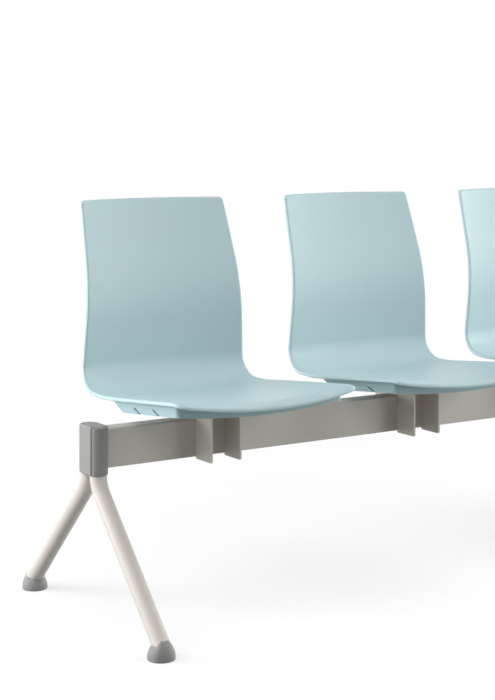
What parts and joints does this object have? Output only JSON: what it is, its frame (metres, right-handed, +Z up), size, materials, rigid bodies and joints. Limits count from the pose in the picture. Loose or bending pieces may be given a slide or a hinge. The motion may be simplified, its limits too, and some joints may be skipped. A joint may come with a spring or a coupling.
{
  "type": "beam seating",
  "caption": "Waiting-room beam seating: curved plastic seat shells side by side on a steel beam, held up at each end by a splayed pair of bent tubes with domed feet.",
  "frame": {"origin": "on the floor under the middle of the beam, centred between the four feet", "axes": "+X along the beam to the right of someone facing the seats' fronts, +Y from the seats' fronts to their backs, +Z up"},
  "size_m": [1.644, 0.604, 0.8395],
  "materials": {
    "shell_plastic": "fine matte, pale aqua",
    "tray_plastic": "fine matte, pale aqua",
    "painted_steel": "satin powder coat, warm light grey",
    "grey_plastic": "matte, mid grey",
    "plated_steel": "bright zinc plate"
  },
  "bodies": {
    "root": {"beam": "painted_steel", "beam_bolts_1": "plated_steel", "beam_bolts_2": "plated_steel", "beam_bolts_3": "plated_steel", "beam_sleeves_1": "plated_steel", "beam_sleeves_2": "plated_steel", "beam_sleeves_3": "plated_steel", "beam_spigot_left": "painted_steel", "beam_spigot_right": "painted_steel", "foot_left_front": "grey_plastic", "foot_left_rear": "grey_plastic", "foot_right_front": "grey_plastic", "foot_right_rear": "grey_plastic", "leg_cap_left": "grey_plastic", "leg_cap_right": "grey_plastic", "leg_cover_left": "grey_plastic", "leg_cover_right": "grey_plastic", "leg_tube_left_front": "painted_steel", "leg_tube_left_rear": "painted_steel", "leg_tube_right_front": "painted_steel", "leg_tube_right_rear": "painted_steel", "lock_screws_left": "plated_steel", "lock_screws_right": "plated_steel", "seat_bracket_1": "painted_steel", "seat_bracket_2": "painted_steel", "seat_bracket_3": "painted_steel", "seat_screws_1": "plated_steel", "seat_screws_2": "plated_steel", "seat_screws_3": "plated_steel", "seat_shell_1": "shell_plastic", "seat_shell_2": "shell_plastic", "seat_shell_3": "shell_plastic", "seat_tray_1": "tray_plastic", "seat_tray_2": "tray_plastic", "seat_tray_3": "tray_plastic"}
  },
  "joints": []
}
